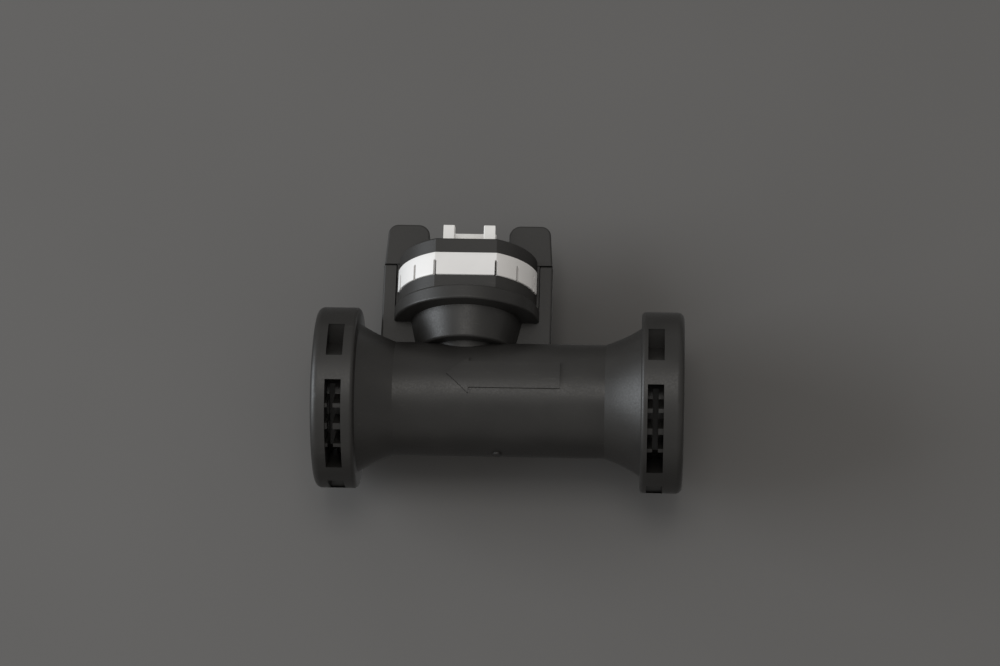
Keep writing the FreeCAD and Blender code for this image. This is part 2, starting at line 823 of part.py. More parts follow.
def connector_header():
    """The white header: a base on the board, two posts at the front and a wall at the back."""
    body = new_body("connector_header")
    half, depth = size["header_width"] / 2, size["header_depth"] / 2
    sketch = new_sketch(body, "header_base", "XY", board_top)
    draw_rectangle(sketch, -half, half, -depth, depth)
    extrude(body, sketch, size["header_floor"] - board_top)
    sketch = new_sketch(body, "header_posts", "XY", size["header_floor"])
    inner, back = half - size["header_post_width"], size["header_post_depth"] - depth
    draw_rectangle(sketch, -half, -inner, -depth, back)
    draw_rectangle(sketch, inner, half, -depth, back)
    extrude(body, sketch, size["header_post_top"] - size["header_floor"])
    sketch = new_sketch(body, "header_wall", "XY", size["header_floor"])
    draw_rectangle(sketch, -half, half, depth - size["header_wall"], depth)
    extrude(body, sketch, size["header_wall_top"] - size["header_floor"])
    sketch = new_sketch(body, "pin_slots", "XY", size["header_floor"])
    slot = size["pin_width"] / 2 + size["pin_clearance"]
    for x, y in pin_places():
        draw_rectangle(sketch, x - slot, x + slot, y - slot, y + slot)
    extrude(body, sketch, size["header_floor"] - board_top, removes=True)
    ease_edges(body, "Fillet", size["header_rounding"], is_header_edge)
    return body


def is_header_edge(edge):
    """True for the upright edges and the top edges of the header's posts and back wall."""
    box = edge.BoundBox
    upright = box.ZLength > 1 and box.ZMin > size["header_floor"].value - 0.001
    tops = lies_at(edge, size["header_post_top"]) or lies_at(edge, size["header_wall_top"])
    return upright or tops


def contact_pins():
    """The three square contact pins, with their tips chamfered."""
    pins = []
    half = size["pin_width"] / 2
    for index, (x, y) in enumerate(pin_places(), start=1):
        body = new_body(f"contact_pin_{index}")
        sketch = new_sketch(body, f"pin_section_{index}", "XY", size["pin_foot"])
        draw_rectangle(sketch, x - half, x + half, y - half, y + half)
        extrude(body, sketch, size["pin_tip"] - size["pin_foot"])
        ease_edges(body, "Chamfer", size["pin_chamfer"], lambda edge: lies_at(edge, size["pin_tip"]))
        pins.append(body)
    return pins


def legged_chip(name, x, y):
    """A moulded chip with four flat legs along each of its long sides."""
    length, width = size["chip_length"] / 2, size["chip_width"] / 2
    leg, lift = size["chip_leg"], size["chip_leg"] / 4
    top = board_top + size["chip_height"]
    items = [block(f"{name}_mould", x - length, x + length, y - width, y + width, board_top + lift, top)]
    for step in (-1.5, -0.5, 0.5, 1.5):
        middle = x + size["chip_leg_pitch"] * step
        edges = (middle - leg / 2, middle + leg / 2, y - width - leg, y + width + leg)
        items.append(block(f"{name}_leg", *edges, board_top, board_top + leg / 2))
    return fuse(name, items)


def capped_chip(name, x, y, length, width, height, along="X"):
    """A small part with a raised metal cap at each end of its long side."""
    cap = length / 4
    skin = height / 20
    middle, beside = (x, y) if along == "X" else (y, x)
    low, high = middle - length / 2, middle + length / 2
    near, far = beside - width / 2, beside + width / 2
    items = []
    for kind, start, end, inset in (
        ("core", low, high, skin),
        ("cap", low, low + cap, as_dim(0)),
        ("cap", high - cap, high, as_dim(0)),
    ):
        sides = [(start, end), (near + inset, far - inset)]
        (x_low, x_high), (y_low, y_high) = sides if along == "X" else reversed(sides)
        top = board_top + height - inset
        items.append(block(f"{name}_{kind}", x_low, x_high, y_low, y_high, board_top, top))
    return fuse(name, items)


def board_parts():
    """The parts that stand on the board round the header."""
    gap = size["component_gap"]
    out = size["header_depth"] / 2 + gap + size["chip_leg"] + size["chip_width"] / 2
    items = [legged_chip("signal_amplifier", as_dim(0), out)]
    items.append(legged_chip("microcontroller", as_dim(0), -out))
    side = size["header_width"] / 2 + gap
    small = (size["small_chip_length"], size["small_chip_width"], size["small_chip_height"])
    beside = side + small[1] / 2
    level = size["header_depth"] / 2
    items.append(capped_chip("voltage_regulator", -beside, level, *small, along="Y"))
    items.append(capped_chip("surge_diode", beside, level, *small, along="Y"))
    capacitor = (size["capacitor_length"], size["capacitor_width"], size["capacitor_width"])
    resistor = (size["resistor_length"], size["resistor_width"], size["resistor_height"])
    rows = (("filter_capacitor", 3, -1, capacitor), ("chip_resistor", 4, 1, resistor))
    for name, count, way, dims in rows:
        x = (side + dims[0] / 2) * way
        for index in range(count):
            y = level - small[0] / 2 - gap - dims[1] / 2 - (dims[1] + gap) * index
            items.append(capped_chip(f"{name}_{index + 1}", x, y, *dims))
    return items


def ear_outline(sketch, side):
    """One ear of the cover: it stands on the top plate and rests over the post beside it."""
    inner, seat = size["header_width"] / 2 + size["ear_gap"], size["post_top"] + size["ear_seat_gap"]
    foot = post_reach - size["ear_step"]
    reach = foot - size["ear_taper"]
    wall = (cover_radius + cavity_radius) / 2
    top, sunk = size["ear_top"], size["cover_top"] - size["cover_plate"] / 2
    inside, outside = size["ear_inner_rounding"], size["ear_outer_rounding"]
    points = [
        (inner, sunk),
        (inner, top - inside, inside, "right"),
        (inner + inside, top),
        (reach - outside, top, outside, "right"),
        (reach, top - outside),
        (foot, seat),
        (wall, seat),
        (wall, sunk),
    ]
    if side < 0:
        swapped = {"right": "left", "left": "right"}
        points = [(-p[0], *p[1:3], *(swapped[turn] for turn in p[3:])) for p in points]
    draw_outline(sketch, points)


def is_ear_edge(edge):
    """True for the edges round both flat faces of an ear, down to its seat."""
    box = edge.BoundBox
    half = size["blade_thickness"].value / 2
    on_face = box.YLength < 0.001 and abs(abs(box.YMin) - half) < 0.001
    above = box.ZMin > size["cover_top"].value - 0.001 and box.ZLength > 0.001
    top = lies_at(edge, size["ear_top"])
    outside = min(abs(box.XMin), abs(box.XMax)) > cover_radius.value and box.ZLength > 1
    return on_face and (above or top or outside)


def head_cover():
    """The round cover: a flat front, a seat for its band between two shoulders, and two ears."""
    body = new_body("head_cover")
    full, flat = size["cover_diameter"], cover_flat
    recess = size["band_recess"]
    sketch = new_sketch(body, "cover_outline", "XY", flange_top)
    draw_flatted_circle(sketch, full, flat)
    extrude(body, sketch, size["cover_top"] - flange_top)
    edge = size["cover_rounding"]
    ease_edges(body, "Fillet", edge, lambda item: lies_at(item, size["cover_top"]))
    sketch = new_sketch(body, "band_seat", "XY", size["band_base"])
    draw_flatted_circle(sketch, full - recess * 2, flat - recess)
    draw_circle(sketch, 0, 0, full + 2)
    extrude(body, sketch, size["band_height"], removes=True, backwards=True)
    sketch = new_sketch(body, "band_shoulder", "XY", size["band_base"])
    end, across = -size["band_end"], half_chord(cover_radius, size["band_end"])
    shoulder = [(across, end, cover_radius, "left"), (0, cover_radius, cover_radius, "left")]
    draw_outline(sketch, shoulder + [(-across, end)])
    extrude(body, sketch, size["band_height"])
    sketch = new_sketch(body, "seal_seat", "XY", flange_top)
    draw_circle(sketch, 0, 0, cavity_radius * 2)
    extrude(body, sketch, size["cup_rim_height"], removes=True, backwards=True)
    sketch = new_sketch(body, "cavity", "XY", flange_top)
    draw_flatted_circle(sketch, cavity_radius * 2, cavity_flat)
    depth = size["cover_top"] - size["cover_plate"] - flange_top
    extrude(body, sketch, depth, removes=True, backwards=True)
    sketch = new_sketch(body, "header_opening", "XY", size["cover_top"])
    gap = size["header_clearance"]
    half, deep = size["header_width"] / 2 + gap, size["header_depth"] / 2 + gap
    draw_rectangle(sketch, -half, half, -deep, deep)
    extrude(body, sketch, size["cover_plate"] * 2, removes=True)
    for name, side in (("inlet_ear", 1), ("outlet_ear", -1)):
        sketch = new_sketch(body, name, "XZ")
        ear_outline(sketch, side)
        extrude(body, sketch, size["blade_thickness"], centred=True)
    ease_edges(body, "Fillet", size["ear_edge_rounding"], is_ear_edge)
    return body


def band_slit(index, angle):
    """The tool for one slit of the band: it has a round top and runs out at the lower edge."""
    body = new_body(f"slit_tool_{index}")
    sketch = new_sketch(body, f"slit_outline_{index}", "XZ")
    half = size["band_slit_width"] / 2
    base = size["band_base"]
    top = base + size["band_slit_height"]
    below = base - half
    points = [
        (-half, below),
        (half, below),
        (half, top - half, half, "left"),
        (0, top, half, "left"),
        (-half, top - half),
    ]
    draw_outline(sketch, points)
    extrude(body, sketch, size["cover_diameter"])
    body.Placement = Placement(Vector(), Rotation(Z_AXIS, 1))
    body.setExpression("Placement.Rotation.Angle", angle.text)
    return body


def marking_band():
    """The white band round the cover's front, with slits up from its lower edge."""
    body = new_body("band_blank")
    gap, proud = size["band_clearance"], size["band_proud"]
    recess = size["band_recess"] - gap
    full, flat = size["cover_diameter"], cover_flat
    sketch = new_sketch(body, "band_outline", "XY", size["band_base"] + gap)
    draw_flatted_circle(sketch, full + proud * 2, flat + proud)
    draw_flatted_circle(sketch, full - recess * 2, flat - recess)
    extrude(body, sketch, size["band_height"] - gap * 2)
    sketch = new_sketch(body, "band_opening", "XY", size["band_base"] + gap)
    draw_rectangle(sketch, -full, full, -size["band_end"] - gap, full)
    extrude(body, sketch, size["band_height"], removes=True, backwards=True)
    tools = []
    for place in ("inner", "middle", "outer"):
        angle = size[f"band_slit_{place}_angle"]
        tools += [band_slit(f"{place}_inlet", angle), band_slit(f"{place}_outlet", -angle)]
    return cut("marking_band", body, fuse("slit_tools", tools))


def check_document():
    """Stops the build where an object failed to compute."""
    doc.recompute()
    for item in doc.Objects:
        if "Invalid" in item.State or "Error" in item.State:
            raise RuntimeError(f"{item.Label} failed: {item.State}")


def export_nodes(nodes):
    """Checks each piece and writes it to its own file."""
    os.makedirs("parts", exist_ok=True)
    for node in nodes:
        node.Label = node.Name
        shape = node.Shape
        if shape.isNull() or not shape.isValid():
            raise RuntimeError(f"{node.Label} has no valid solid")
        shape.exportStep(os.path.join("parts", f"{node.Label}.step"))


def main():
    nodes = [flow_tube(), sensor_paddle()] + piezo_parts() + seals() + [paddle_clamp()]
    nodes += [circuit_board()] + board_parts() + [connector_header()] + contact_pins()
    nodes += [head_cover(), marking_band()]
    check_document()
    export_nodes(nodes)


main()
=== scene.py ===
"""Studio scene for an inline water flow sensor: its finishes, its band and ribs, and the stage."""

import math

import bpy
import numpy as np
from bpy.props import FloatProperty, FloatVectorProperty, IntProperty, PointerProperty
from mathutils import Matrix, Vector


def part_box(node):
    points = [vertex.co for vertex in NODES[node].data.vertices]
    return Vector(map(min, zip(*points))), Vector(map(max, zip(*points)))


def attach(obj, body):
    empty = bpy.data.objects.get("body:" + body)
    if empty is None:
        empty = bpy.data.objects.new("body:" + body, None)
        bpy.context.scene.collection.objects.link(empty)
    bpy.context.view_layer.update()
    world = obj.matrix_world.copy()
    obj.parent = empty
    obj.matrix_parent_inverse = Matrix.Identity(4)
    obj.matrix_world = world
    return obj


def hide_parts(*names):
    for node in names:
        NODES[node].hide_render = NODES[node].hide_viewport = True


bl_info = {
    "name": "Water Flow Sensor Studio",
    "version": (1, 0, 0),
    "blender": (4, 5, 0),
    "location": "3D View > Sidebar > Flow Sensor",
    "description": "Finishes an inline water flow sensor and sets it on a plain grey table",
    "category": "Object",
}

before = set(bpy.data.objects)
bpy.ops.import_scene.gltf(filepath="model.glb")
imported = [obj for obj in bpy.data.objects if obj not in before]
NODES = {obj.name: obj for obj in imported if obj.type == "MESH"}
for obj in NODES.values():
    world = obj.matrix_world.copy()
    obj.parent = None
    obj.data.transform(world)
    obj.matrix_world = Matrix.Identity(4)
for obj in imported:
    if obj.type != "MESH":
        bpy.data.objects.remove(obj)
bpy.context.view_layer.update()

MM = 0.001
BODY = "root"
SMOOTH_LIMIT = math.radians(32)

# Sockets of the colour mix node, which has one set of inputs for each kind of data.
MIX_FACTOR, MIX_FIRST, MIX_SECOND, MIX_RESULT = 0, 6, 7, 2

# The band's slits: columns across each, the width of its sharp lip in millimetres, and the part
# of its half width that other columns keep clear.
SLIT_STEPS = 13
SLIT_LIP = 0.015
SLIT_CLEARANCE = 1.6

# Limits that pick faces of the CAD's nodes: the height of a chip's legs in millimetres, the
# share of a part's length and the margin in millimetres that a metal cap takes, and the cosines
# between an axis and the sides of the bending strip or the walls of the board.
LEG_HEIGHT = 0.21
CAP_SHARE = 0.25
CAP_MARGIN = 0.01
BROAD_SIDE = 0.9
BOARD_EDGE = 0.5

# The camera's sensor width in millimetres, and how near and how far it sees in metres.
SENSOR_WIDTH = 36.0
CLIP_RANGE = (0.01, 20.0)

# The table: half its width in metres, and its gap to the sensor in millimetres.
TABLE_HALF_WIDTH = 1.6
TABLE_GAP = 0.05

# Name, place in metres, width in metres, power in watts and colour of each lamp.
LAMPS = (
    ("window_lamp", (-0.98, -0.4, 0.0), 0.7, 9.6, (0.9, 0.95, 1.0)),
    ("ceiling_lamp", (0.0, -1.15, 0.04), 0.4, 2.4, (1.0, 0.97, 0.93)),
    ("back_lamp", (0.3, 0.95, 0.45), 0.9, 4.0, (1.0, 1.0, 1.0)),
)
SURROUND_COLOUR = (1.0, 0.98, 0.95, 1.0)
SURROUND_STRENGTH = 0.44


# Meshes


def mesh_piece(name, points, faces, node=None):
    """A named piece from points in millimetres, which rides on the sensor's body."""
    mesh = bpy.data.meshes.new(name)
    mesh.from_pydata((points * MM).tolist(), [], faces.tolist())
    mesh.validate()
    mesh.polygons.foreach_set("use_smooth", np.ones(len(mesh.polygons), bool))
    mesh.set_sharp_from_angle(angle=SMOOTH_LIMIT)
    piece = bpy.data.objects.new(name, mesh)
    bpy.context.scene.collection.objects.link(piece)
    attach(piece, BODY)
    if node:
        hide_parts(node)
    return piece


def tube_faces(columns, rows):
    """Quads between the columns of a grid whose rows close on themselves."""
    index = np.arange(columns * rows).reshape(columns, rows)
    near, far = index[:-1], index[1:]
    quads = np.stack([near, far, np.roll(far, -1, 1), np.roll(near, -1, 1)], axis=-1)
    return quads.reshape(-1, 4)


def object_rows(faces):
    """Faces of different lengths as one array whose rows are lists."""
    rows = np.empty(len(faces), object)
    rows[:] = [list(map(int, face)) for face in faces]
    return rows


# Materials


class Finish:
    """A procedural material: one Principled shader and the nodes that drive it."""

    def __init__(self, name, colour, roughness, metallic=0.0, specular=0.5):
        self.material = bpy.data.materials.new(name)
        self.material.use_nodes = True
        self.tree = self.material.node_tree
        self.tree.nodes.clear()
        self.shader = self.add("ShaderNodeBsdfPrincipled", Metallic=metallic)
        self.shader.inputs["Base Color"].default_value = (*colour, 1.0)
        self.shader.inputs["Roughness"].default_value = roughness
        self.shader.inputs["Specular IOR Level"].default_value = specular
        self.output = self.add("ShaderNodeOutputMaterial", Surface=self.shader.outputs["BSDF"])
        self.place = self.add("ShaderNodeTexCoord").outputs["Object"]

    def add(self, kind, settings=None, **sockets):
        """A node with its settings, and sockets that take a value or another node's output."""
        made = self.tree.nodes.new(kind)
        for name, value in (settings or {}).items():
            setattr(made, name, value)
        for name, value in sockets.items():
            self.feed(made, name.replace("_", " "), value)
        return made

    def feed(self, made, name, value):
        """Puts a value or a link on one input of a node, by its name or number."""
        socket = made.inputs[name]
        if isinstance(value, bpy.types.NodeSocket):
            self.tree.links.new(value, socket)
        else:
            socket.default_value = value

    def stretch(self, x=1.0, y=1.0, z=1.0):
        """The object's coordinates stretched along its axes."""
        return self.add("ShaderNodeMapping", Vector=self.place, Scale=(x, y, z)).outputs[0]

    def grain(self, size_mm, detail=2.0, place=None):
        """Cloudy noise whose spots are about a size in millimetres, from 0 to 1."""
        scale = 1.0 / (size_mm * MM)
        place = self.place if place is None else place
        return self.add("ShaderNodeTexNoise", Vector=place, Scale=scale, Detail=detail).outputs[0]

    def cells(self, size_mm):
        """Distance to the nearest of many scattered points, about a size in millimetres apart."""
        scale = 1.0 / (size_mm * MM)
        made = self.add("ShaderNodeTexVoronoi", Vector=self.place, Scale=scale)
        return made.outputs["Distance"]

    def spread(self, factor, low, high, to_low=0.0, to_high=1.0):
        """A factor stretched from one range to another and clamped there."""
        made = self.add("ShaderNodeMapRange", Value=factor)
        limits = {"From Min": low, "From Max": high, "To Min": to_low, "To Max": to_high}
        for name, value in limits.items():
            made.inputs[name].default_value = value
        return made.outputs[0]

    def blend(self, factor, first, second):
        """Two colours mixed by a factor. A colour may be another node's output."""
        made = self.add("ShaderNodeMix", {"data_type": "RGBA"})
        for index, value in ((MIX_FACTOR, factor), (MIX_FIRST, first), (MIX_SECOND, second)):
            self.feed(made, index, value)
        return made.outputs[MIX_RESULT]

    def combine(self, operation, first, second):
        """The result of a maths node on two values, which may be other nodes' outputs."""
        made = self.add("ShaderNodeMath", {"operation": operation})
        self.feed(made, 0, first)
        self.feed(made, 1, second)
        return made.outputs[0]

    def sum_of(self, *terms):
        """Several heights added, each with its own weight."""
        total = None
        for height, weight in terms:
            scaled = self.combine("MULTIPLY", height, weight)
            total = scaled if total is None else self.combine("ADD", total, scaled)
        return total

    def set_colour(self, source):
        self.feed(self.shader, "Base Color", source)

    def set_roughness(self, source):
        self.feed(self.shader, "Roughness", source)

    def set_relief(self, height, depth_mm, strength):
        """Bump whose full height is a depth in millimetres."""
        bump = self.add("ShaderNodeBump", Height=height, Strength=strength, Distance=depth_mm * MM)
        self.feed(self.shader, "Normal", bump.outputs[0])


def tone(colour, factor):
    """A colour made lighter or darker, as a shader takes it."""
    return (*(channel * factor for channel in colour), 1.0)


def dress(names, finish):
    """Gives CAD nodes a finish all over."""
    for name in names:
        slots = NODES[name].data.materials
        slots.clear()
        slots.append(finish.material)


def face_frames(mesh):
    """Centres and unit normals of a mesh's faces, as arrays in millimetres."""
    centres = np.empty(len(mesh.polygons) * 3, np.float32)
    normals = np.empty(len(mesh.polygons) * 3, np.float32)
    mesh.polygons.foreach_get("center", centres)
    mesh.polygons.foreach_get("normal", normals)
    return centres.reshape(-1, 3) / MM, normals.reshape(-1, 3)


def dress_where(name, finish, chosen):
    """Gives a second finish to those faces of a CAD node that a test on the arrays picks."""
    mesh = NODES[name].data
    mesh.materials.append(finish.material)
    centres, normals = face_frames(mesh)
    low, high = (np.array(corner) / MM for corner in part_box(name))
    mask = chosen(centres, normals, low, high)
    index = np.where(mask, len(mesh.materials) - 1, 0).astype(np.int32)
    mesh.polygons.foreach_set("material_index", index)


def moulded_black(name, colour, roughness, grain_mm, relief_mm):
    """Glass-filled black plastic: spark-eroded grain, faint cloudiness and a few pale fibres."""
    finish = Finish(name, colour, roughness)
    fine = finish.grain(grain_mm, 3.0)
    pits = finish.spread(finish.cells(grain_mm * 2.4), 0.15, 0.75)
    cloud = finish.grain(9.0, 3.0)
    flow = finish.grain(0.5, 2.0, finish.stretch(0.12, 1.0, 1.0))
    fibres = finish.spread(flow, 0.66, 0.8)
    body = finish.blend(finish.spread(cloud, 0.3, 0.7), tone(colour, 0.82), tone(colour, 1.2))
    worn = finish.blend(finish.spread(fine, 0.62, 0.85, 0.0, 0.5), body, tone(colour, 2.1))
    finish.set_colour(finish.blend(fibres, worn, tone(colour, 1.7)))
    patchy = finish.sum_of((cloud, 0.16), (fine, 0.14), (pits, 0.06))
    finish.set_roughness(finish.spread(patchy, 0.1, 0.26, roughness - 0.08, roughness + 0.1))
    finish.set_relief(finish.sum_of((fine, 0.5), (pits, 0.35), (flow, 0.15)), relief_mm, 0.8)
    return finish


def smooth_white(name, colour, roughness, relief_mm):
    """White moulded plastic: a slow change of tone, fine scuffs and a soft satin."""
    finish = Finish(name, colour, roughness, specular=0.45)
    cloud = finish.grain(6.0, 3.0)
    scuffs = finish.grain(0.35, 3.0, finish.stretch(0.35, 0.35, 2.4))
    body = finish.blend(finish.spread(cloud, 0.3, 0.7), tone(colour, 0.965), tone(colour, 1.02))
    worn = finish.spread(scuffs, 0.7, 0.84, 0.0, 0.4)
    finish.set_colour(finish.blend(worn, body, tone(colour, 0.86)))
    finish.set_roughness(finish.spread(scuffs, 0.3, 0.75, roughness - 0.05, roughness + 0.12))
    finish.set_relief(finish.sum_of((finish.grain(0.12), 0.6), (scuffs, 0.4)), relief_mm, 0.5)
    return finish


def plated(name, colour, roughness):
    """Tin plate: drawn streaks along the part and a little dulling."""
    finish = Finish(name, colour, roughness, metallic=1.0)
    streaks = finish.grain(0.09, 3.0, finish.stretch(1.0, 1.0, 0.08))
    dull = finish.spread(finish.grain(0.9, 2.0), 0.3, 0.7)
    finish.set_colour(finish.blend(dull, tone(colour, 0.84), tone(colour, 1.0)))
    finish.set_roughness(finish.spread(streaks, 0.3, 0.7, roughness - 0.08, roughness + 0.14))
    finish.set_relief(streaks, 0.004, 0.5)
    return finish


def fine_mould(name, colour, roughness, grain_mm, relief_mm, contrast):
    """A plain moulded or fired surface with its own grain."""
    finish = Finish(name, colour, roughness)
    fine, cloud = finish.grain(grain_mm, 3.0), finish.grain(grain_mm * 14, 2.0)
    mixed = finish.sum_of((fine, 0.5), (cloud, 0.5))
    low, high = tone(colour, 1 - contrast), tone(colour, 1 + contrast)
    finish.set_colour(finish.blend(finish.spread(mixed, 0.35, 0.65), low, high))
    finish.set_roughness(finish.spread(fine, 0.3, 0.7, roughness - 0.06, roughness + 0.08))
    finish.set_relief(fine, relief_mm, 0.7)
    return finish


def solder_mask(name, colour, roughness):
    """Glass-epoxy board: a green mask over the weave, lighter where copper lies under it."""
    finish = Finish(name, colour, roughness)
    weave_scale, track_scale = 620.0, 240.0
    weave_x = finish.add("ShaderNodeTexWave", Vector=finish.place, Scale=weave_scale)
    weave_y = finish.add(
        "ShaderNodeTexWave", {"bands_direction": "Y"}, Vector=finish.place, Scale=weave_scale
    )
    weave = finish.sum_of((weave_x.outputs[1], 0.5), (weave_y.outputs[1], 0.5))
    tracks = finish.add("ShaderNodeTexBrick", Vector=finish.place, Scale=track_scale)
    tracks.inputs["Mortar Size"].default_value = 0.035
    tracks.inputs["Mortar Smooth"].default_value = 0.3
    copper = finish.blend(tracks.outputs["Fac"], tone(colour, 1.0), tone(colour, 1.7))
    thread = finish.spread(weave, 0.2, 0.8, 0.0, 0.35)
    finish.set_colour(finish.blend(thread, copper, tone(colour, 0.7)))
    finish.set_relief(finish.sum_of((weave, 0.4), (tracks.outputs["Fac"], 0.6)), 0.02, 0.5)
    return finish


# Settings


def colour_setting(name, text, value):
    return FloatVectorProperty(
        name=name, description=text, subtype="COLOR", size=3, min=0.0, max=1.0, default=value
    )


def share_setting(name, text, value):
    return FloatProperty(
        name=name, description=text, subtype="FACTOR", min=0.0, max=1.0, default=value
    )


def length_setting(name, text, value):
    return FloatProperty(name=name, description=text, min=0.0, default=value, precision=3)


def angle_setting(name, text, degrees):
    return FloatProperty(
        name=name, description=text, subtype="ANGLE", unit="ROTATION", default=math.radians(degrees)
    )


class HousingSettings(bpy.types.PropertyGroup):
    """The black moulding of the tube, its collars and the head's cover."""

    colour: colour_setting("Colour", "Colour of the black plastic", (0.0155, 0.0146, 0.0134))
    tube_roughness: share_setting("Tube roughness", "Roughness of the tube and collars", 0.44)
    cover_roughness: share_setting("Cover roughness", "Roughness of the head's cover", 0.47)
    grain: length_setting("Grain size", "Size of the spark-eroded grain, in millimetres", 0.16)
    relief: length_setting("Grain depth", "Depth of that grain, in millimetres", 0.012)


class BandSettings(bpy.types.PropertyGroup):
    """The white band round the front and sides of the head."""

    colour: colour_setting("Colour", "Colour of the white plastic", (0.74, 0.725, 0.71))
    roughness: share_setting("Roughness", "Roughness of the band", 0.42)
    edge: length_setting("Edge rounding", "Rounding of the band's edges, in millimetres", 0.14)
    outer_radius: length_setting("Outer radius", "Radius of the outer face, in millimetres", 13.9)
    outer_flat: length_setting("Outer flat", "Axis to the flat front, in millimetres", 12.55)
    thickness: length_setting("Thickness", "Thickness of the band, in millimetres", 0.85)
    end: length_setting("Ends", "Band's ends, in millimetres in front of the axis", 2.85)
    slit_width: length_setting("Slit width", "Width of the band's slits, in millimetres", 0.55)
    slit_height: length_setting("Slit height", "Height of the band's slits, in millimetres", 3.05)
    slit_inner: angle_setting("Inner slits", "Angle of the first slit from the front", 25.4)
    slit_middle: angle_setting("Middle slits", "Angle of the second slit from the front", 45.9)
    slit_outer: angle_setting("Outer slits", "Angle of the third slit from the front", 69.5)
    steps: IntProperty(name="Steps", description="Columns along the band", min=60, default=260)


class RibSettings(bpy.types.PropertyGroup):
    """The ribs down the cover's sides, between it and the posts."""

    root: length_setting("Root", "Axis to the rib's root in the cover, in millimetres", 13.4)
    reach: length_setting("Reach", "Axis to the rib's outer face, in millimetres", 14.05)
    width: length_setting("Width", "Width of the rib, in millimetres", 2.4)
    edge: length_setting("Edge rounding", "Rounding of the rib's edges, in millimetres", 0.12)
    foot: length_setting("Foot", "Cover's rim to the rib's foot, in millimetres", 0.3)
    overlap: length_setting("Overlap", "Rib's head above the post's top, in millimetres", 0.2)


class ConnectorSettings(bpy.types.PropertyGroup):
    """The header on the head's top and its pins."""

    colour: colour_setting("Header colour", "Colour of the header's plastic", (0.79, 0.775, 0.75))
    roughness: share_setting("Header roughness", "Roughness of the header", 0.45)
    plating: colour_setting("Plating colour", "Colour of the tin plate", (0.72, 0.71, 0.68))


class StageSettings(bpy.types.PropertyGroup):
    """The camera and the surface that the sensor lies on."""

    azimuth: angle_setting("Azimuth", "Turn of the camera to the right of the front", 2.5)
    elevation: angle_setting("Elevation", "Height of the camera over the sensor's side", -22.0)
    roll: angle_setting("Roll", "Clockwise turn of the picture", 1.85)
    distance: length_setting("Distance", "Camera to the sensor's origin, in metres", 0.6395)
    lens: length_setting("Lens", "Focal length on a 36 mm sensor, in millimetres", 118.8)
    aside: length_setting("Aside", "Camera's shift to its right, in millimetres", 6.54)
    above: length_setting("Above", "Camera's shift up, in millimetres", 13.12)
    table_tilt: angle_setting("Table tilt", "Tilt of the sensor's head towards the table", 8.1)
    table_colour: colour_setting("Table colour", "Colour of the grey surface", (0.136, 0.133, 0.13))


# Pieces


class FLOWSENSOR_OT_housing(bpy.types.Operator):
    """Finish the flow tube and the head's cover in glass-filled black plastic"""

    bl_idname = "flow_sensor.housing"
    bl_label = "Housing"

    def execute(self, context):
        look = context.scene.flow_sensor_housing
        colour = tuple(look.colour)
        for node, roughness in (
            ("flow_tube", look.tube_roughness),
            ("head_cover", look.cover_roughness),
        ):
            finish = moulded_black(f"{node}_black", colour, roughness, look.grain, look.relief)
            dress([node], finish)
        return {"FINISHED"}


def band_columns(look):
    """Angles of the band's columns from the front, and the height of the lower edge at each.

    The lower edge is level but for the slits, where it rises steeply and closes in a half
    circle: height = top - half width + root(half width squared - distance squared)."""
    radius = look.outer_radius
    half = look.slit_width / 2
    end = math.acos(look.end / (radius - look.thickness))
    centres = np.array([look.slit_inner, look.slit_middle, look.slit_outer])
    centres = np.sort(np.concatenate([-centres, centres]))
    plain = np.linspace(-end, end, look.steps)
    gap = np.abs(plain[:, None] - centres).min(axis=1) * radius
    plain = plain[gap > half * SLIT_CLEARANCE]
    across = half * np.sin(np.linspace(-math.pi / 2, math.pi / 2, SLIT_STEPS))
    rise = look.slit_height - half + np.sqrt(np.maximum(half**2 - across**2, 0))
    around = np.concatenate([[-half - SLIT_LIP], across, [half + SLIT_LIP]])
    heights = np.concatenate([[0.0], rise, [0.0]])
    angles = np.concatenate([plain, (centres[:, None] + around / radius).ravel()])
    lower = np.concatenate([np.zeros(len(plain)), np.tile(heights, len(centres))])
    order = np.argsort(angles)
    return angles[order], lower[order]


def flatted_reach(angle, radius, flat):
    """Reach of a circle with one flat: the radius, or flat / cosine(angle) where that is less."""
    return np.minimum(radius, flat / np.cos(angle))


def rounded_section(edge, corner_steps=4, side_steps=6):
    """A rounded rectangle as rows of (share outwards, offset, share upwards, offset).

    Each corner is a quarter circle of the edge's radius, and both long sides have steps of
    their own: place = low side + (high side - low side) * share + offset."""
    turn = np.linspace(0, math.pi / 2, corner_steps + 1)
    rows = []
    for out, up, start in ((1, 0, -1), (1, 1, 0), (0, 1, 1), (0, 0, 2)):
        angle = turn + start * math.pi / 2
        inward = edge * (np.cos(angle) - (1 if out else -1))
        upward = edge * (np.sin(angle) - (1 if up else -1))
        rows += [(out, a, up, b) for a, b in zip(inward, upward)]
        if (out, up) in ((1, 0), (0, 1)):
            share = np.linspace(0, 1, side_steps + 1)[1:-1]
            side = share if out else 1 - share
            rows += [(out, 0.0, s, edge * (1 - 2 * s)) for s in side]
    return np.array(rows)


